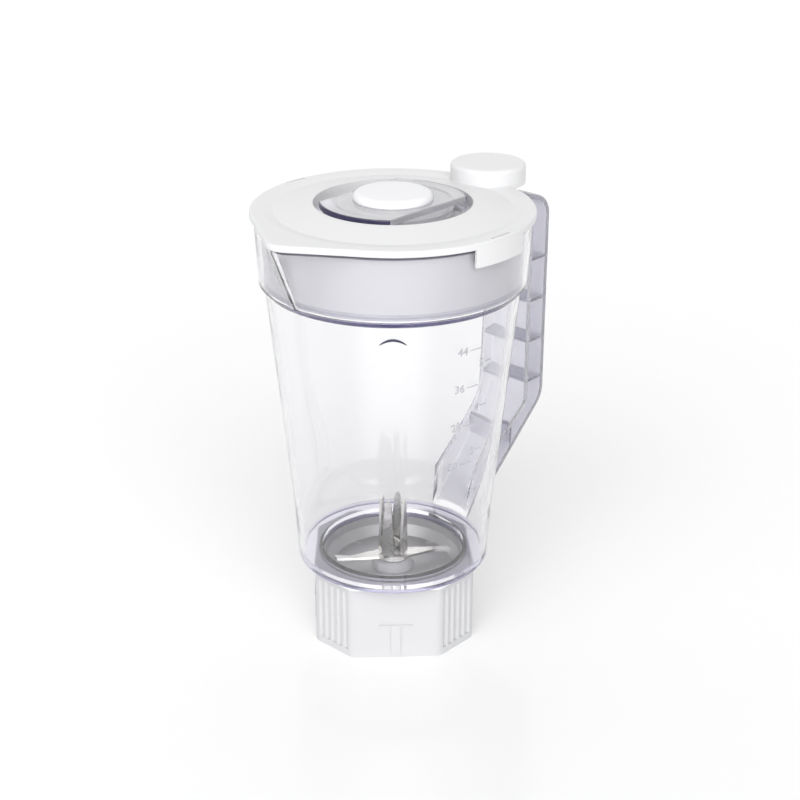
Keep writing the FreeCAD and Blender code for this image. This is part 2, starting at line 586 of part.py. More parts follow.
def make_lower_blade():
    """Long blade with two swept arms that end in a raised hook."""
    reach = LOWER_BLADE_REACH
    arm = plate([(-5, -5.5), (7, -5.5), (reach - 9, -1.5), (reach, -4.6),
                 (reach - 1.5, 1.0), (reach - 8, 3.2), (6, 5.5), (-5, 5.5)],
                BLADE_Z, BLADE_Z + BLADE_SHEET)
    edge = side_slab([(9, BLADE_Z + 0.5), (reach + 1, BLADE_Z + 0.5),
                      (reach + 1, BLADE_Z + BLADE_SHEET + 1), (9, BLADE_Z + BLADE_SHEET + 1)],
                     3.0)
    edge.rotate(Vector(9, 1.5, BLADE_Z + 0.5), Vector(1, 0, 0), 24)
    edge.translate(Vector(0, 4.6, 0))
    edge.rotate(Vector(9, 5, 0), UP, -8)
    arm = arm.cut(edge)
    both = arm.fuse(turn(arm, 180)).removeSplitter()
    hole = cylinder(SPINDLE_TIP_RADIUS + SEAT_CLEARANCE, BLADE_Z, BLADE_Z + BLADE_SHEET)
    return turn(both.cut(hole), LOWER_BLADE_TURN)


def make_upper_blade():
    """Cross-shaped blade with four tall upright wings."""
    base = UPPER_BLADE_Z
    sheet = BLADE_SHEET
    outer = WING_OFFSET + sheet / 2
    inner = outer - sheet
    half = WING_BASE_WIDTH / 2
    tip = WING_TIP_WIDTH / 2
    cross = plate([(-outer, -half), (outer, -half), (outer, half), (-outer, half)],
                  base, base + sheet)
    cross = cross.fuse(turn(cross, 90))
    profile = [Vector(inner, -half, base), Vector(inner, half, base),
               Vector(inner, half, base + WING_HEIGHT * 0.3),
               Vector(inner, tip, base + WING_HEIGHT - 2.0),
               Vector(inner, -tip * 0.2, base + WING_HEIGHT),
               Vector(inner, -tip, base + WING_HEIGHT - 3.0),
               Vector(inner, -half, base + WING_HEIGHT * 0.3)]
    wing = Part.Face(Part.makePolygon(profile + profile[:1])).extrude(Vector(sheet, 0, 0))
    wings = [turn(wing, 90 * quarter) for quarter in range(4)]
    hole = cylinder(SPINDLE_TIP_RADIUS + SEAT_CLEARANCE, base, base + sheet)
    return turn(cross.fuse(wings).removeSplitter().cut(hole), WING_TURN)


def make_blade_nut():
    bottom = NUT_Z
    hexagon = plate(polygon_points(6, NUT_ACROSS_FLATS), bottom, bottom + NUT_HEIGHT)
    cone = turned([(0, bottom), (NUT_ACROSS_FLATS * 0.56, bottom),
                   (NUT_ACROSS_FLATS * 0.56, bottom + NUT_HEIGHT * 0.55),
                   (NUT_ACROSS_FLATS * 0.2, bottom + NUT_HEIGHT), (0, bottom + NUT_HEIGHT)])
    hole = cylinder(SPINDLE_TIP_RADIUS + SEAT_CLEARANCE, bottom,
                    bottom + NUT_HEIGHT - NUT_CROWN + FACE_GAP)
    return hexagon.common(cone).cut(hole)


def coupling_top():
    return circlip_z() - WASHER_THICKNESS - COUPLING_GAP


def make_drive_coupling():
    """Plastic dog clutch with open slots round its foot, moulded round the insert."""
    top = coupling_top()
    bottom = top - COUPLING_HEIGHT
    body = cylinder(COUPLING_RADIUS, bottom, top)
    cavity = cylinder(INSERT_ACROSS_FLATS * 0.66, bottom, bottom + COUPLING_CAVITY)
    body = body.cut(cavity)
    slot = bar(COUPLING_SLOT_WIDTH, 0, COUPLING_RADIUS + 1, bottom,
               bottom + COUPLING_SLOT_DEPTH)
    insert_space = plate(polygon_points(6, INSERT_ACROSS_FLATS), bottom, top)
    slots = [turn(slot, 360 / COUPLING_LOBES * lobe) for lobe in range(COUPLING_LOBES)]
    return body.cut(slots).cut(insert_space)


def make_coupling_insert():
    top = coupling_top()
    bottom = top - COUPLING_HEIGHT + COUPLING_SLOT_DEPTH
    body = plate(polygon_points(6, INSERT_ACROSS_FLATS), bottom, top)
    return body.cut(cylinder(SPINDLE_RADIUS + SEAT_CLEARANCE, bottom, top))


def all_parts():
    return {
        "jug": make_jug(),
        "lid": make_lid(),
        "lid_seal": make_lid_seal(),
        "filler_cap": make_filler_cap(),
        "base_collar": make_base_collar(),
        "blade_carrier": make_blade_carrier(),
        "steel_dish": make_steel_dish(),
        "jug_gasket": make_jug_gasket(),
        "upper_bush": make_upper_bush(),
        "lower_bush": make_lower_bush(),
        "shaft_seal": make_shaft_seal(),
        "spindle": make_spindle(),
        "upper_thrust_washer": washer(HUB_TOP_Z + FACE_GAP, WASHER_RADIUS,
                                      SPINDLE_RADIUS + RUNNING_CLEARANCE),
        "lower_thrust_washer": washer(circlip_z() + FACE_GAP, WASHER_RADIUS,
                                      SPINDLE_RADIUS + RUNNING_CLEARANCE),
        "retaining_ring": make_retaining_ring(),
        "lower_blade": make_lower_blade(),
        "blade_spacer": ring(SPINDLE_TIP_RADIUS + SEAT_CLEARANCE, WING_OFFSET - 1,
                             BLADE_Z + BLADE_SHEET, UPPER_BLADE_Z),
        "upper_blade": make_upper_blade(),
        "blade_washer": washer(UPPER_BLADE_Z + BLADE_SHEET, WING_OFFSET - 1.2,
                               SPINDLE_TIP_RADIUS + SEAT_CLEARANCE),
        "blade_nut": make_blade_nut(),
        "drive_coupling": make_drive_coupling(),
        "coupling_insert": make_coupling_insert(),
    }


os.makedirs("parts", exist_ok=True)
for name, shape in all_parts().items():
    if not shape.isValid():
        raise ValueError(name + " is not a valid shape")
    print(name, "solids", len(shape.Solids), "volume", round(shape.Volume, 1))
    shape.exportStep("parts/" + name + ".step")
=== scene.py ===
"""Looks of the blender jug: clear jug, lid, filler cap, blade unit and base collar.

Everything is in metres in the part's own frame: the origin is the centre of the collar's
foot, +Z is up, +X points to the handle and -X to the spout.
"""
import math

import bmesh
import bpy
import numpy as np
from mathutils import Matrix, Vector


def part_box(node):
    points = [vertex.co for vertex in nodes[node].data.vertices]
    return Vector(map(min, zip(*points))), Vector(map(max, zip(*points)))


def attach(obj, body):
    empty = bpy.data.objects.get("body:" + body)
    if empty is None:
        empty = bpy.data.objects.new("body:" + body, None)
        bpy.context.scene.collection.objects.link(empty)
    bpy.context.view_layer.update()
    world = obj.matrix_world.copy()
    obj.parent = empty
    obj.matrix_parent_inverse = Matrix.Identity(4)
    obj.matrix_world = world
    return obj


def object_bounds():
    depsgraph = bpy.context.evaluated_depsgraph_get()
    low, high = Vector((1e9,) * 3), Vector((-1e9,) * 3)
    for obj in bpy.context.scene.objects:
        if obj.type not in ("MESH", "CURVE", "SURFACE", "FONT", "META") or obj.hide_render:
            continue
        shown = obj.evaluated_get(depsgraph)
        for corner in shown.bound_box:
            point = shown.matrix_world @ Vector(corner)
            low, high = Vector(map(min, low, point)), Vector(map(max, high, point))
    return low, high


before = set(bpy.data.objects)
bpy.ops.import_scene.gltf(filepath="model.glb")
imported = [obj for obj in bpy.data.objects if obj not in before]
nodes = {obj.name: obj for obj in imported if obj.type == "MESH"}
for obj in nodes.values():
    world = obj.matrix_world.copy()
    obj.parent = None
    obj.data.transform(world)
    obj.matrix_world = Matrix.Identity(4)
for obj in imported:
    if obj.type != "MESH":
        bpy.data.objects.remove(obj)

cad_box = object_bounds()
MM = 0.001


# ---- Jug -----------------------------------------------------------------------------
# The jug is one injection moulding in clear styrene plastic, with its spout and its
# channelled handle moulded on. It is water clear, and faintly blue where light travels
# a long way inside a wall, along its rims and down the edges of the handle. Its colour
# also holds painted shade: dark bands at the step under the band and at the foot rim,
# and a painted shadow along the top edge under the lid.
def new_finish(name):
    """A material whose node tree holds only its output and one shader."""
    material = bpy.data.materials.new(name)
    material.use_nodes = True
    tree = material.node_tree
    shader = tree.nodes["Principled BSDF"]
    return material, tree, shader


def link(tree, source, target):
    tree.links.new(source, target)


def object_place(tree, scale=(1.0, 1.0, 1.0)):
    """The point on the piece in metres, each axis multiplied by its scale."""
    where = tree.nodes.new("ShaderNodeTexCoord")
    mapping = tree.nodes.new("ShaderNodeMapping")
    mapping.inputs["Scale"].default_value = scale
    link(tree, where.outputs["Object"], mapping.inputs["Vector"])
    return mapping.outputs["Vector"]


def combined(tree, operation, first, second):
    """Two numbers brought together by a sum, a product or the like."""
    both = tree.nodes.new("ShaderNodeMath")
    both.operation = operation
    link(tree, first, both.inputs[0])
    link(tree, second, both.inputs[1])
    return both.outputs["Value"]


def mottle(tree, place, per_metre, detail=3.0, rough=0.55):
    """Cloudy noise from 0 to 1 with so many patches to the metre."""
    noise = tree.nodes.new("ShaderNodeTexNoise")
    noise.inputs["Scale"].default_value = per_metre
    noise.inputs["Detail"].default_value = detail
    noise.inputs["Roughness"].default_value = rough
    link(tree, place, noise.inputs["Vector"])
    return noise.outputs["Fac"]


def spread(tree, value, low, high, start=0.3, end=0.7):
    """The value carried from the span start..end to the span low..high, and held there."""
    limits = tree.nodes.new("ShaderNodeMapRange")
    limits.inputs["From Min"].default_value = start
    limits.inputs["From Max"].default_value = end
    limits.inputs["To Min"].default_value = low
    limits.inputs["To Max"].default_value = high
    link(tree, value, limits.inputs["Value"])
    return limits.outputs["Result"]


def two_tone(tree, value, first, second):
    """Colour that goes from first to second as the value goes from 0 to 1."""
    ramp = tree.nodes.new("ShaderNodeValToRGB")
    ramp.color_ramp.elements[0].color = (*first, 1.0)
    ramp.color_ramp.elements[1].color = (*second, 1.0)
    link(tree, value, ramp.inputs["Fac"])
    return ramp.outputs["Color"]


def tinted(tree, colour, tone):
    """One colour multiplied by another."""
    mixed = tree.nodes.new("ShaderNodeVectorMath")
    mixed.operation = "MULTIPLY"
    link(tree, colour, mixed.inputs[0])
    link(tree, tone, mixed.inputs[1])
    return mixed.outputs["Vector"]


def relief(tree, shader, height, depth, strength=1.0):
    """Bump of so many metres, from a height of 0 to 1."""
    bump = tree.nodes.new("ShaderNodeBump")
    bump.inputs["Distance"].default_value = depth
    bump.inputs["Strength"].default_value = strength
    link(tree, height, bump.inputs["Height"])
    link(tree, bump.outputs["Normal"], shader.inputs["Normal"])


def set_finish(node, material):
    """Puts the material in every slot of a carried-over node."""
    mesh = nodes[node].data
    mesh.materials.clear()
    mesh.materials.append(material)


def blend_values(tree, share, first, second):
    """First where the share is 0, and the number second where it is 1."""
    mixed = tree.nodes.new("ShaderNodeMix")
    link(tree, share, mixed.inputs["Factor"])
    link(tree, first, mixed.inputs["A"])
    mixed.inputs["B"].default_value = second
    return mixed.outputs["Result"]


NO_TINT = (1.0, 1.0, 1.0)
HANDLING_TINT = (0.985, 0.988, 1.0)
HAZE_PER_METRE = 55.0
SCUFFS_PER_METRE = 900.0
SCUFF_STRETCH = (1.0, 1.0, 0.12)
SMOOTH = 0.0
HAZED = 0.04
STYRENE_IOR = 1.53
MOULD_WAVES_PER_METRE = 38.0
MOULD_WAVE_DEPTH = 0.12 * MM


def clear_moulding(name, body_tint, tint_per_metre, clearness):
    """Clear moulded plastic: fine handling haze in patches, a slow waviness from the
    mould, and a tint that only deepens with the distance light travels inside it. Also
    returns the value that sets its roughness."""
    material, tree, shader = new_finish(name)
    place = object_place(tree)
    haze = mottle(tree, place, HAZE_PER_METRE, 5.0, 0.6)
    scuffs = mottle(tree, object_place(tree, SCUFF_STRETCH), SCUFFS_PER_METRE, 2.0)
    rough = spread(tree, combined(tree, "MULTIPLY", haze, scuffs), SMOOTH, HAZED, 0.18, 0.5)
    link(tree, rough, shader.inputs["Roughness"])
    link(tree, two_tone(tree, haze, HANDLING_TINT, NO_TINT), shader.inputs["Base Color"])
    shader.inputs["Transmission Weight"].default_value = clearness
    shader.inputs["IOR"].default_value = STYRENE_IOR
    relief(tree, shader, mottle(tree, place, MOULD_WAVES_PER_METRE, 1.0), MOULD_WAVE_DEPTH)
    inside = tree.nodes.new("ShaderNodeVolumeAbsorption")
    inside.inputs["Color"].default_value = (*body_tint, 1.0)
    inside.inputs["Density"].default_value = tint_per_metre
    link(tree, inside.outputs["Volume"], tree.nodes["Material Output"].inputs["Volume"])
    return material, rough


def inside_span(tree, value, low, high):
    """1 between low and high, 0 outside, with a soft step a fifth of the span wide."""
    soft = (high - low) / 5
    return combined(tree, "MULTIPLY", spread(tree, value, 0.0, 1.0, low, low + soft),
                    spread(tree, value, 1.0, 0.0, high - soft, high))


WALL_SLOPE = 0.0988
MASK_EDGE = 0.1 * MM
CHANNEL_ROUGH = 0.42


def jug_surface(material, rough, cheek, start, channel_tone, steps):
    """Grained faces inside the handle's channel, where the distance from the middle plane
    is less than the cheeks' inner faces, and x less the wall's slope times height is past
    the start of the handle. Before it, the colour takes each darker tone over its (low,
    high, tone) heights: painted shade and painted shadow along the wall's steps and rims."""
    tree = material.node_tree
    shader = tree.nodes["Principled BSDF"]
    parts = tree.nodes.new("ShaderNodeSeparateXYZ")
    link(tree, object_place(tree), parts.inputs["Vector"])
    aside = tree.nodes.new("ShaderNodeMath")
    aside.operation = "ABSOLUTE"
    link(tree, parts.outputs["Y"], aside.inputs[0])
    between = spread(tree, aside.outputs["Value"], 1.0, 0.0, cheek, cheek + MASK_EDGE)
    off_wall = tree.nodes.new("ShaderNodeVectorMath")
    off_wall.operation = "DOT_PRODUCT"
    off_wall.inputs[1].default_value = (1.0, 0.0, -WALL_SLOPE)
    link(tree, object_place(tree), off_wall.inputs[0])
    past = spread(tree, off_wall.outputs["Value"], 0.0, 1.0, start, start + MASK_EDGE)
    before = spread(tree, off_wall.outputs["Value"], 1.0, 0.0, start, start + MASK_EDGE)
    channel = combined(tree, "MULTIPLY", between, past)
    link(tree, blend_values(tree, channel, rough, CHANNEL_ROUGH), shader.inputs["Roughness"])
    colour = two_tone(tree, channel, NO_TINT, channel_tone)
    for low, high, tone in steps:
        step = combined(tree, "MULTIPLY", before,
                        inside_span(tree, parts.outputs["Z"], low, high))
        colour = tinted(tree, colour, two_tone(tree, step, NO_TINT, tone))
    link(tree, colour, shader.inputs["Base Color"])


JUG_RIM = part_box("jug")[1].z
JUG_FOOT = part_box("base_collar")[1].z
JUG_TINT = (0.30, 0.27, 0.58)
JUG_TINT_PER_METRE = 11.0
WATER_CLEAR = 1.0
HANDLE_CHEEK = 12.3 * MM
HANDLE_START = 50.4 * MM
CHANNEL_TONE = (0.86, 0.855, 0.93)
# Painted shade: these bands darken the wall's colour where its edges look dark, at the step
# under the band and at the foot rim; the band at the top edge is a painted shadow under the
# lid.
SHOULDER_PAINTED_SHADE = (JUG_RIM - 37.6 * MM, JUG_RIM - 33.8 * MM, (0.10, 0.09, 0.22))
TOP_EDGE_PAINTED_SHADOW = (JUG_RIM - 1.8 * MM, JUG_RIM, (0.20, 0.19, 0.24))
FOOT_RIM_PAINTED_SHADE = (JUG_FOOT - 1.0 * MM, JUG_FOOT + 2.8 * MM, (0.70, 0.68, 0.86))
jug_plastic, jug_rough = clear_moulding("clear_jug_plastic", JUG_TINT, JUG_TINT_PER_METRE,
                                        WATER_CLEAR)
jug_surface(jug_plastic, jug_rough, HANDLE_CHEEK, HANDLE_START, CHANNEL_TONE,
            (SHOULDER_PAINTED_SHADE, TOP_EDGE_PAINTED_SHADOW, FOOT_RIM_PAINTED_SHADE))
set_finish("jug", jug_plastic)


# ---- Measuring marks -----------------------------------------------------------------
# Low ribs and numerals stand out of the jug's outer wall on the side beside the handle.
# They are cut in the mould, with a frosted face, so that they read as pale grey.
def wall_profile(node, half_angle):
    """Heights and outer radii of the node's turned wall, read from its own points: at
    each height, the greatest distance from Z of the points that lie away from both the
    +X and the -X side by more than half_angle."""
    points = np.zeros(len(nodes[node].data.vertices) * 3)
    nodes[node].data.vertices.foreach_get("co", points)
    x, y, z = points.reshape(-1, 3).T
    clear = np.abs(y) > np.abs(x) * math.tan(half_angle)
    radius = np.hypot(x, y)[clear]
    level = np.round(z[clear], 5)
    heights = np.unique(level)
    return heights, np.array([radius[level == height].max() for height in heights])


SPOUT_AND_HANDLE_ANGLE = math.radians(50)
WALL_HEIGHTS, WALL_RADII = wall_profile("jug", SPOUT_AND_HANDLE_ANGLE)


def on_wall(azimuth, height, rise):
    """Point on the jug wall: the wall's radius at that height, plus the rise, turned to
    the azimuth about Z."""
    radius = np.interp(height, WALL_HEIGHTS, WALL_RADII) + rise
    return np.stack([radius * np.cos(azimuth), radius * np.sin(azimuth),
                     height + 0 * azimuth], axis=-1)


def grid_faces(rows, columns, turned=True):
    """Four-sided faces of a grid of rows x columns points, joined round each row."""
    row, column = np.meshgrid(np.arange(rows - 1), np.arange(columns), indexing="ij")
    beside = (column + 1) % columns
    faces = np.stack([row * columns + column, row * columns + beside,
                      (row + 1) * columns + beside, (row + 1) * columns + column], -1)
    return faces.reshape(-1, 4)[:, ::-1] if turned else faces.reshape(-1, 4)


def new_piece(name, points, faces, material, body, slot_name, smooth=True):
    """A piece from whole arrays of points and faces, riding on its body. Doubles at the
    poles are merged and the normals are turned outwards."""
    mesh = bpy.data.meshes.new(name)
    mesh.from_pydata(points.reshape(-1, 3).tolist(), [], faces.tolist())
    worked = bmesh.new()
    worked.from_mesh(mesh)
    bmesh.ops.remove_doubles(worked, verts=worked.verts, dist=1e-7)
    bmesh.ops.dissolve_degenerate(worked, edges=worked.edges, dist=1e-8)
    bmesh.ops.recalc_face_normals(worked, faces=worked.faces)
    worked.to_mesh(mesh)
    worked.free()
    mesh.polygons.foreach_set("use_smooth", np.full(len(mesh.polygons), smooth))
    mesh.materials.append(material)
    piece = bpy.data.objects.new(name, mesh)
    bpy.context.scene.collection.objects.link(piece)
    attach(piece, body)


RIB_RINGS = 7
RIB_CORNERS = 24


def raised_bar(azimuth, height, width, thickness, rise):
    """Points and faces of a low rounded rib that lies along the wall. A superellipse
    outline of power 4 shrinks to its middle while the rise grows as the fourth root of
    one minus the share squared, and a sunk copy of the outline closes its back."""
    share, turn = np.meshgrid(np.linspace(1, 0, RIB_RINGS),
                              np.linspace(0, 2 * np.pi, RIB_CORNERS + 1)[:-1], indexing="ij")
    across = np.sign(np.cos(turn)) * np.sqrt(np.abs(np.cos(turn)))
    up = np.sign(np.sin(turn)) * np.sqrt(np.abs(np.sin(turn)))
    lift = rise * (1 - share ** 2) ** 0.25
    share = np.concatenate([np.zeros((1, RIB_CORNERS)), np.ones((1, RIB_CORNERS)), share])
    lift = np.concatenate([np.full((2, RIB_CORNERS), -SINK), lift])
    across = np.concatenate([across[:2], across])
    up = np.concatenate([up[:2], up])
    radius = np.interp(height, WALL_HEIGHTS, WALL_RADII)
    points = on_wall(azimuth + share * across * width / 2 / radius,
                     height + share * up * thickness / 2, lift)
    return points.reshape(-1, 3), grid_faces(*share.shape)


def frosted_marking(name, tone):
    """Frosted face of a moulded mark: the clear plastic's own pale tone, roughened."""
    material, tree, shader = new_finish(name)
    grain = mottle(tree, object_place(tree), FROST_PER_METRE, 2.0)
    darker = tuple(0.82 * part for part in tone)
    link(tree, two_tone(tree, grain, darker, tone), shader.inputs["Base Color"])
    link(tree, spread(tree, grain, 0.4, 0.62), shader.inputs["Roughness"])
    relief(tree, shader, grain, FROST_DEPTH)
    return material


FROST_PER_METRE = 2600.0
FROST_DEPTH = 0.03 * MM
SINK = 0.05 * MM
MARK_RISE = 0.3 * MM
MARK_LINE = 0.55 * MM
MARKING_TONE = (0.50, 0.50, 0.54)
marking = frosted_marking("frosted_marking", MARKING_TONE)

OUNCE_AZIMUTH = math.radians(-97.5)
CUP_AZIMUTH = math.radians(-89.0)
OUNCE_MARKS = {"20": 118.6, "28": 141.5, "36": 163.4, "44": 184.2}
CUP_MARKS = {"2": 100.1, "3": 124.4, "4": 150.4, "5": 175.5}
OUNCE_RIB = 8.5 * MM
CUP_RIB = 5.0 * MM
NUMERAL_SIZE = 6.2 * MM
NUMERAL_GAP = 1.0 * MM


def numeral_on_wall(text, azimuth, height, size):
    """A numeral made a mesh, then laid on the wall: its x runs round the wall as an
    angle, its y is the height, and its thickness is the rise out of the wall."""
    letters = bpy.data.curves.new("numeral", "FONT")
    letters.body = text
    letters.size = size
    letters.align_x = "RIGHT"
    letters.align_y = "CENTER"
    letters.extrude = (MARK_RISE + SINK) / 2
    letters.resolution_u = 3
    holder = bpy.data.objects.new("numeral", letters)
    bpy.context.scene.collection.objects.link(holder)
    flat = bpy.data.meshes.new_from_object(holder.evaluated_get(
        bpy.context.evaluated_depsgraph_get()))
    bpy.data.objects.remove(holder)
    points = np.zeros(len(flat.vertices) * 3)
    flat.vertices.foreach_get("co", points)
    x, y, z = points.reshape(-1, 3).T
    radius = np.interp(height, WALL_HEIGHTS, WALL_RADII)
    placed = on_wall(azimuth + x / radius, height + y, z + (MARK_RISE - SINK) / 2)
    faces = [list(polygon.vertices) for polygon in flat.polygons]
    bpy.data.meshes.remove(flat)
    return placed, faces


def scale_marks(name, marks, azimuth, width):
    """A column of ribs on the wall, each with its numeral to the left of it. The marks
    give each numeral's height above the collar's foot in millimetres."""
    for order, (text, level) in enumerate(marks.items()):
        height = level * MM
        radius = np.interp(height, WALL_HEIGHTS, WALL_RADII)
        bar = raised_bar(azimuth, height, width, MARK_LINE, MARK_RISE)
        new_piece(f"{name}_rib_{order + 1}", *bar, marking, "jug", "clear_plastic")
        start = azimuth - (width / 2 + NUMERAL_GAP) / radius
        points, faces = numeral_on_wall(text, start, height, NUMERAL_SIZE)
        new_piece(f"{name}_numeral_{order + 1}", points, np.array(faces, dtype=object),
                  marking, "jug", "clear_plastic", smooth=False)


scale_marks("ounce", OUNCE_MARKS, OUNCE_AZIMUTH, OUNCE_RIB)
scale_marks("cup", CUP_MARKS, CUP_AZIMUTH, CUP_RIB)


# ---- Dark arc ------------------------------------------------------------------------
# A small arched ridge under the band stands out of the wall. It is coloured dark
# blue all over.
def arched_ridge(azimuth, height, width, arch, thickness, rise):
    """Points and faces of a ridge whose path rises by arch in its middle, as one minus
    the square of its share of the half width. Its section is a low half ellipse with a
    sunk back, and it tapers to both ends as the square root of one minus that square."""
    along, turn = np.meshgrid(np.linspace(-1, 1, 33), np.linspace(0, 2 * np.pi, 17)[:-1],
                              indexing="ij")
    taper = np.sqrt(np.clip(1 - along ** 2, 0, 1))
    radius = np.interp(height, WALL_HEIGHTS, WALL_RADII)
    side = np.cos(turn) * taper * thickness / 2
    lift = np.where(np.sin(turn) > 0, np.sin(turn) * taper * rise, -SINK * taper)
    points = on_wall(azimuth + along * width / 2 / radius,
                     height - arch * along ** 2 + side, lift)
    return points.reshape(-1, 3), grid_faces(*along.shape)


def dark_grainy_finish(name, thin, thick):
    """Grainy dark cover between a thin and a thick tone, with uneven gloss."""
    material, tree, shader = new_finish(name)
    cover = mottle(tree, object_place(tree), 1500.0, 3.0)
    link(tree, two_tone(tree, cover, thin, thick), shader.inputs["Base Color"])
    link(tree, spread(tree, cover, 0.25, 0.45), shader.inputs["Roughness"])
    return material


DARK_ARC_AZIMUTH = math.radians(-137)
DARK_ARC_HEIGHT = 195.0 * MM
DARK_ARC_WIDTH = 14.0 * MM
DARK_ARC_BOW = 3.0 * MM
DARK_ARC_THICKNESS = 1.5 * MM
DARK_ARC_RISE = 0.4 * MM
# A dark blue arc on the wall under the band; its colour is laid on the ridge all over.
dark_arc_finish = dark_grainy_finish("dark_blue_arc_finish", (0.012, 0.012, 0.035), (0.03, 0.03, 0.075))
new_piece("dark_arc_ridge", *arched_ridge(DARK_ARC_AZIMUTH, DARK_ARC_HEIGHT, DARK_ARC_WIDTH, DARK_ARC_BOW,
                                     DARK_ARC_THICKNESS, DARK_ARC_RISE),
          dark_arc_finish, "jug", "clear_plastic")


# ---- Blade unit ----------------------------------------------------------------------
# A pale grey moulded carrier closes the neck of the jug and holds the spindle's bushes.
# A pressed and spun steel dish lies on it, and a rubber ring seals it against the neck.
CLOUDS_PER_METRE = 16.0
GRAIN_PER_METRE = 3200.0
OPAQUE_IOR = 1.49


def moulded_plastic(name, tone, rough, grain_depth=0.02 * MM, sheen_patch=0.06):
    """Opaque moulded plastic: a fine even texture from the mould, slightly uneven gloss,
    and tone that varies by a few percent over a few centimetres."""
    material, tree, shader = new_finish(name)
    place = object_place(tree)
    cloud = mottle(tree, place, CLOUDS_PER_METRE, 2.0)
    grain = mottle(tree, place, GRAIN_PER_METRE, 2.0)
    low = tuple(0.98 * part for part in tone)
    link(tree, two_tone(tree, cloud, low, tone), shader.inputs["Base Color"])
    link(tree, spread(tree, cloud, rough - sheen_patch / 2, rough + sheen_patch),
         shader.inputs["Roughness"])
    relief(tree, shader, grain, grain_depth, 0.6)
    shader.inputs["IOR"].default_value = OPAQUE_IOR
    return material


def around_axis(tree, place):
    """Distance from the Z axis, and the height, of each point."""
    parts = tree.nodes.new("ShaderNodeSeparateXYZ")
    link(tree, place, parts.inputs["Vector"])
    flat = tree.nodes.new("ShaderNodeCombineXYZ")
    link(tree, parts.outputs["X"], flat.inputs["X"])
    link(tree, parts.outputs["Y"], flat.inputs["Y"])
    distance = tree.nodes.new("ShaderNodeVectorMath")
    distance.operation = "LENGTH"
    link(tree, flat.outputs["Vector"], distance.inputs[0])
    return distance.outputs["Value"], parts.outputs["Z"]


LATHE_GROOVE = 0.01 * MM
LATHE_STRETCH = 0.35


def turned_metal(name, tone, rough, rings_per_metre):
    """Metal finished on a lathe or by spinning: fine rings about Z, worked out from the
    distance to the axis plus the height, that vary its gloss and its relief."""
    material, tree, shader = new_finish(name)
    distance, height = around_axis(tree, object_place(tree))
    rings = tree.nodes.new("ShaderNodeTexNoise")
    rings.noise_dimensions = "1D"
    rings.inputs["Scale"].default_value = rings_per_metre
    rings.inputs["Detail"].default_value = 4.0
    rings.inputs["Roughness"].default_value = 0.7
    link(tree, combined(tree, "ADD", distance, height), rings.inputs["W"])
    dull = tuple(0.78 * part for part in tone)
    link(tree, two_tone(tree, rings.outputs["Fac"], dull, tone), shader.inputs["Base Color"])
    link(tree, spread(tree, rings.outputs["Fac"], rough, rough + 0.12),
         shader.inputs["Roughness"])
    relief(tree, shader, rings.outputs["Fac"], LATHE_GROOVE)
    shader.inputs["Metallic"].default_value = 1.0
    shader.inputs["Anisotropic"].default_value = LATHE_STRETCH
    return material


def soft_rubber(name, tone):
    """Silicone rubber: soft gloss, faint bloom in patches and a slightly uneven skin."""
    material, tree, shader = new_finish(name)
    place = object_place(tree)
    bloom = mottle(tree, place, BLOOM_PER_METRE, 4.0)
    skin = mottle(tree, place, SKIN_PER_METRE, 2.0)
    pale = tuple(min(1.0, 1.12 * part) for part in tone)
    link(tree, two_tone(tree, bloom, tone, pale), shader.inputs["Base Color"])
    link(tree, spread(tree, skin, 0.38, 0.6), shader.inputs["Roughness"])
    relief(tree, shader, skin, SKIN_DEPTH)
    shader.inputs["Sheen Weight"].default_value = 0.15
    return material


BLOOM_PER_METRE = 160.0
SKIN_PER_METRE = 1400.0
SKIN_DEPTH = 0.03 * MM
CARRIER_GREY = (0.85, 0.85, 0.87)
SPUN_STEEL = (0.74, 0.735, 0.745)
RUBBER_GREY = (0.45, 0.45, 0.50)
set_finish("blade_carrier", moulded_plastic("grey_carrier_plastic", CARRIER_GREY, 0.36))
set_finish("steel_dish", turned_metal("spun_steel", SPUN_STEEL, 0.46, 2200.0))
rubber = soft_rubber("silicone_rubber", RUBBER_GREY)
for node in ("jug_gasket", "shaft_seal"):
    set_finish(node, rubber)


# ---- Spindle, bushes and drive -------------------------------------------------------
# A turned stainless spindle runs in two sintered bronze bushes between thrust washers. A
# retaining ring holds it, and a black dog clutch on a brass insert drives it from below.
def sintered_bronze(name):
    """Oil-filled sintered bronze: tiny open pores, each darker and rougher than the face."""
    material, tree, shader = new_finish(name)
    pores = tree.nodes.new("ShaderNodeTexVoronoi")
    pores.inputs["Scale"].default_value = PORES_PER_METRE
    link(tree, object_place(tree), pores.inputs["Vector"])
    depth = spread(tree, pores.outputs["Distance"], 0.0, 1.0, 0.05, 0.3)
    link(tree, two_tone(tree, depth, PORE_BROWN, BRONZE_FACE), shader.inputs["Base Color"])
    link(tree, spread(tree, depth, 0.6, 0.34, 0.0, 1.0), shader.inputs["Roughness"])
    relief(tree, shader, depth, PORE_DEPTH)
    shader.inputs["Metallic"].default_value = 1.0
    return material


PORES_PER_METRE = 2600.0
PORE_DEPTH = 0.04 * MM
PORE_BROWN = (0.16, 0.10, 0.05)
BRONZE_FACE = (0.58, 0.38, 0.19)
TURNED_STEEL = (0.60, 0.60, 0.61)
TURNED_BRASS = (0.72, 0.55, 0.24)
CLUTCH_BLACK = (0.035, 0.035, 0.038)
bronze = sintered_bronze("sintered_bronze")
turned_steel = turned_metal("turned_steel", TURNED_STEEL, 0.24, 3600.0)
for node in ("upper_bush", "lower_bush"):
    set_finish(node, bronze)
for node in ("spindle", "upper_thrust_washer", "lower_thrust_washer", "retaining_ring",
             "blade_spacer", "blade_washer"):
    set_finish(node, turned_steel)
set_finish("coupling_insert", turned_metal("turned_brass", TURNED_BRASS, 0.25, 3000.0))
set_finish("drive_coupling", moulded_plastic("black_clutch_plastic", CLUTCH_BLACK, 0.4,
                                             0.04 * MM))


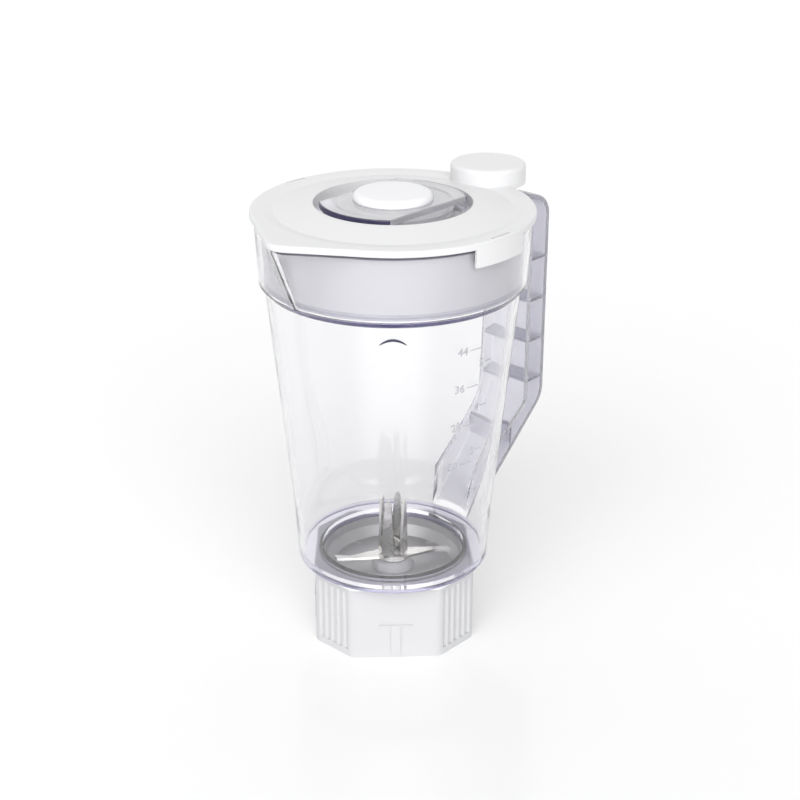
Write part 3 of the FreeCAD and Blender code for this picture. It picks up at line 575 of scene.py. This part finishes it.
# ---- Blades --------------------------------------------------------------------------
# Two stampings in hardened stainless strip, polished all over, with edges ground on one
# side. The upper one is a cross with four tall wings bent up, and a domed nut holds both.
def ground_steel(name, tone, rough, lines_per_metre):
    """Polished strip steel: straight grinding lines, long one way and fine across."""
    material, tree, shader = new_finish(name)
    lines = mottle(tree, object_place(tree, GRINDING_STRETCH), lines_per_metre, 3.0, 0.7)
    smear = mottle(tree, object_place(tree), SMEARS_PER_METRE, 3.0)
    dull = tuple(0.8 * part for part in tone)
    link(tree, two_tone(tree, lines, dull, tone), shader.inputs["Base Color"])
    link(tree, spread(tree, smear, rough, rough + 0.1), shader.inputs["Roughness"])
    relief(tree, shader, lines, GRINDING_DEPTH)
    shader.inputs["Metallic"].default_value = 1.0
    return material


GRINDING_STRETCH = (0.05, 1.0, 1.0)
GRINDING_DEPTH = 0.008 * MM
SMEARS_PER_METRE = 120.0
BLADE_STEEL = (0.78, 0.765, 0.74)
polished = ground_steel("polished_blade_steel", BLADE_STEEL, 0.2, 2400.0)
for node in ("lower_blade", "upper_blade", "blade_nut"):
    set_finish(node, polished)


# ---- Base collar ---------------------------------------------------------------------
# The collar is a square nut with cut corners, moulded in white plastic, that screws on
# the jug's neck and holds the blade unit up against it.
def painted_light_by_level(material, level, radius, low_tone, high_tone):
    """Plastic whose tone changes from the low tone to the high tone above a level or
    outside a radius: painted light and shade on one plastic."""
    tree = material.node_tree
    shader = tree.nodes["Principled BSDF"]
    distance, height = around_axis(tree, object_place(tree))
    above = spread(tree, height, 0.0, 1.0, level - TONE_EDGE, level)
    beyond = spread(tree, distance, 0.0, 1.0, radius - TONE_EDGE, radius)
    share = combined(tree, "MAXIMUM", above, beyond)
    plain = shader.inputs["Base Color"].links[0].from_socket
    link(tree, tinted(tree, plain, two_tone(tree, share, low_tone, high_tone)),
         shader.inputs["Base Color"])
    return material


TONE_EDGE = 0.3 * MM
OUT_OF_REACH = 1.0
WHITE = (0.95, 0.95, 0.96)
FINE_GRAIN = 0.01 * MM
EVEN_SHEEN = 0.015
# Painted shade: the collar's sides below its seat are darkened, while its top keeps the
# plain white.
COLLAR_SIDE_PAINTED_SHADE = (0.59, 0.59, 0.60)
COLLAR_SEAT = JUG_FOOT - 2.4 * MM
collar_white = moulded_plastic("white_collar_plastic", WHITE, 0.32, FINE_GRAIN, EVEN_SHEEN)
set_finish("base_collar", painted_light_by_level(collar_white, COLLAR_SEAT, OUT_OF_REACH,
                                      COLLAR_SIDE_PAINTED_SHADE, NO_TINT))


# ---- Lid -----------------------------------------------------------------------------
# The lid is moulded in white plastic with a raised rim, a beak over the spout and a
# thumb pad over the handle. A soft ring at the foot of its skirt seals it in the jug.
# Painted light and shade: the lid above the jug's rim and beyond the skirt's reach takes a
# darker grey, and the skirt inside the jug a lighter lavender; the white plastic is the same
# all over.
LID_SKIRT_PAINTED_LIGHT = (0.93, 0.925, 0.96)
LID_TOP_PAINTED_SHADE = (0.73, 0.73, 0.73)
LID_PLATE_FOOT = JUG_RIM + 0.1 * MM
LID_SKIRT_REACH = 71.9 * MM
SEAL_GREY = (0.62, 0.62, 0.68)
lid_white = moulded_plastic("white_lid_plastic", WHITE, 0.34, FINE_GRAIN, EVEN_SHEEN)
set_finish("lid", painted_light_by_level(lid_white, LID_PLATE_FOOT, LID_SKIRT_REACH, LID_SKIRT_PAINTED_LIGHT,
                              LID_TOP_PAINTED_SHADE))
set_finish("lid_seal", soft_rubber("grey_lid_seal", SEAL_GREY))


# ---- Filler cap ----------------------------------------------------------------------
# The cap is a clear measuring cup that closes the hole in the lid. Its grip plate is
# clear and glossy; the dark along its thick edge is painted shade in its colour. A thin
# white face is snapped over the dome on top of it.
CAP_TINT = (0.30, 0.26, 0.50)
CAP_TINT_PER_METRE = 14.0
CAP_CLEARNESS = 0.72
PLATE_EDGE = 37.7 * MM
# Painted shade: the plate beyond this radius is darkened to a deep blue for the dark look of
# its thick clear edge.
PLATE_EDGE_PAINTED_SHADE = (0.10, 0.09, 0.20)
cap_plastic, _ = clear_moulding("clear_cap_plastic", CAP_TINT, CAP_TINT_PER_METRE,
                                CAP_CLEARNESS)
set_finish("filler_cap", painted_light_by_level(cap_plastic, OUT_OF_REACH, PLATE_EDGE, NO_TINT,
                                     PLATE_EDGE_PAINTED_SHADE))


def turned_shell(profile, columns=96):
    """Points and faces of a closed turned shell: the profile's radius and height pairs,
    from the axis out and back to the axis, each carried round Z in even steps."""
    radius, height = np.asarray(profile).T
    turn = np.linspace(0, 2 * np.pi, columns + 1)[:-1]
    points = np.stack([np.outer(radius, np.cos(turn)), np.outer(radius, np.sin(turn)),
                       np.outer(height, np.ones(columns))], -1)
    return points.reshape(-1, 3), grid_faces(len(radius), columns)


def dome_profile(radius, top, side_foot, edge_round, crown):
    """Half section of a shallow dome: a parabola that falls by the crown, a quarter circle
    of edge_round at the rim, then straight down to the side's foot."""
    flat = radius - edge_round
    across = np.linspace(0, flat, 12)
    bend = np.linspace(0, np.pi / 2, 9)[1:]
    low = top - crown
    return np.concatenate([
        np.stack([across, top - crown * (across / flat) ** 2], -1),
        np.stack([flat + edge_round * np.sin(bend),
                  low - edge_round * (1 - np.cos(bend))], -1),
        [[radius, side_foot]]])


FACE_THICKNESS = 0.25 * MM
FACE_GAP = 0.05 * MM
DOME_ROUND = 3.0 * MM
DOME_CROWN = 0.35 * MM
DOME_HEIGHT = 3.6 * MM
DOME_WHITE = (0.79, 0.79, 0.81)
cap_points = np.zeros(len(nodes["filler_cap"].data.vertices) * 3)
nodes["filler_cap"].data.vertices.foreach_get("co", cap_points)
cap_x, cap_y, cap_z = cap_points.reshape(-1, 3).T
DOME_TOP = cap_z.max()
on_dome = cap_z > DOME_TOP - DOME_ROUND - 0.1 * MM
DOME_RADIUS = np.hypot(cap_x, cap_y)[on_dome].max()
FACE_FOOT = DOME_TOP - DOME_HEIGHT + FACE_GAP
face_outside = dome_profile(DOME_RADIUS + FACE_THICKNESS,
                            DOME_TOP + FACE_THICKNESS + DOME_CROWN, FACE_FOOT,
                            DOME_ROUND + FACE_THICKNESS, DOME_CROWN)
face_inside = dome_profile(DOME_RADIUS - SINK, DOME_TOP - SINK, FACE_FOOT, DOME_ROUND, 0.0)
frosted_white = moulded_plastic("frosted_dome_plastic", DOME_WHITE, 0.46, 0.04 * MM)
new_piece("dome_face", *turned_shell(np.concatenate([face_outside, face_inside[::-1]])),
          frosted_white, "filler_cap", "white_plastic")


# ---- Studio --------------------------------------------------------------------------
# A pale table that glows softly and evenly from below, a light tent all round with a
# bright window in front and a pale back wall, and one wide lamp. The camera stands
# between the spout and the side with the measuring marks, above the lid.
TABLE_SIZE = 30.0
TABLE_GLOW = 0.11
TABLE_TONES = ((0.79, 0.79, 0.79), (0.80, 0.80, 0.80))


def pale_table(size, glow):
    """A flat disc: rows of rings about Z, out to size, closed at its middle."""
    reach, turn = np.meshgrid(np.linspace(0, size, 24), np.linspace(0, 2 * np.pi, 97)[:-1],
                              indexing="ij")
    points = np.stack([reach * np.cos(turn), reach * np.sin(turn), 0 * turn], -1)
    material, tree, shader = new_finish("pale_table_top")
    cloud = mottle(tree, object_place(tree), 0.6)
    link(tree, two_tone(tree, cloud, *TABLE_TONES), shader.inputs["Base Color"])
    link(tree, spread(tree, cloud, 0.14, 0.15), shader.inputs["Roughness"])
    shader.inputs["Emission Color"].default_value = (1.0, 1.0, 1.0, 1.0)
    shader.inputs["Emission Strength"].default_value = glow
    mesh = bpy.data.meshes.new("table_top")
    mesh.from_pydata(points.reshape(-1, 3).tolist(), [],
                     grid_faces(*reach.shape, turned=False).tolist())
    mesh.materials.append(material)
    table = bpy.data.objects.new("table_top", mesh)
    bpy.context.scene.collection.objects.link(table)


pale_table(TABLE_SIZE, TABLE_GLOW)

CAMERA_HEADING = math.radians(43.0)
WINDOW_RISE = math.radians(26.0)
DARK_FRONT = 0.45
ROOF_LIGHT = 0.35
ROOF_SPAN = (0.14, 0.42)
BACK_LIGHT = 1.1
BACK_SPAN = (0.1, 0.9)
WINDOW_LIGHT = 3.0
WINDOW_SPAN = (0.72, 0.92)
ahead = Vector((math.cos(CAMERA_HEADING), math.sin(CAMERA_HEADING), 0.0))
window = -ahead * math.cos(WINDOW_RISE) + Vector((0, 0, math.sin(WINDOW_RISE)))

world = bpy.data.worlds.new("light_tent")
world.use_nodes = True
bpy.context.scene.world = world
tent = world.node_tree
towards = tent.nodes.new("ShaderNodeTexCoord").outputs["Generated"]


def facing(direction):
    """How far each part of the tent faces the direction: 1 straight at it, 0 beside it."""
    turned = tent.nodes.new("ShaderNodeVectorMath")
    turned.operation = "DOT_PRODUCT"
    turned.inputs[1].default_value = direction
    link(tent, towards, turned.inputs[0])
    return turned.outputs["Value"]


roof = spread(tent, facing((0, 0, 1)), DARK_FRONT, ROOF_LIGHT, *ROOF_SPAN)
back_wall = spread(tent, facing(ahead), DARK_FRONT, BACK_LIGHT, *BACK_SPAN)
front_window = spread(tent, facing(window), 0.0, WINDOW_LIGHT, *WINDOW_SPAN)
tent_light = combined(tent, "ADD", combined(tent, "MAXIMUM", roof, back_wall), front_window)
link(tent, tent_light, tent.nodes["Background"].inputs["Color"])
tent.nodes["Background"].inputs["Strength"].default_value = 1.0
bpy.context.scene.view_settings.view_transform = "Standard"


def wide_lamp(name, place, aim, size, power):
    """Square lamp that faces its aim."""
    light = bpy.data.lights.new(name, "AREA")
    light.size = size
    light.energy = power
    lamp = bpy.data.objects.new(name, light)
    lamp.location = place
    lamp.rotation_euler = (Vector(aim) - Vector(place)).to_track_quat("-Z", "Y").to_euler()
    bpy.context.scene.collection.objects.link(lamp)


LAMP_PLACE = (-1.2, -0.1, 1.3)
LAMP_SIZE = 0.9
LAMP_WATTS = 5.0
middle = (cad_box[0] + cad_box[1]) / 2
wide_lamp("key_lamp", LAMP_PLACE, middle, LAMP_SIZE, LAMP_WATTS)

CAMERA_DISTANCE = 787.5 * MM
CAMERA_RISE = 435.6 * MM
CAMERA_PITCH = math.radians(23.69)
LENS_LENGTH = 71.9
LENS_SHIFT = 0.00875
SENSOR_WIDTH = 36.0
NEAR_LIMIT = 10.0 * MM
lens = bpy.data.cameras.new("camera")
lens.lens = LENS_LENGTH
lens.sensor_width = SENSOR_WIDTH
lens.shift_x = LENS_SHIFT
lens.clip_start = NEAR_LIMIT
camera = bpy.data.objects.new("camera", lens)
camera.location = -ahead * CAMERA_DISTANCE + Vector((0, 0, JUG_FOOT + CAMERA_RISE))
view = ahead * math.cos(CAMERA_PITCH) - Vector((0, 0, math.sin(CAMERA_PITCH)))
camera.rotation_euler = view.to_track_quat("-Z", "Y").to_euler()
bpy.context.scene.collection.objects.link(camera)
bpy.context.scene.camera = camera
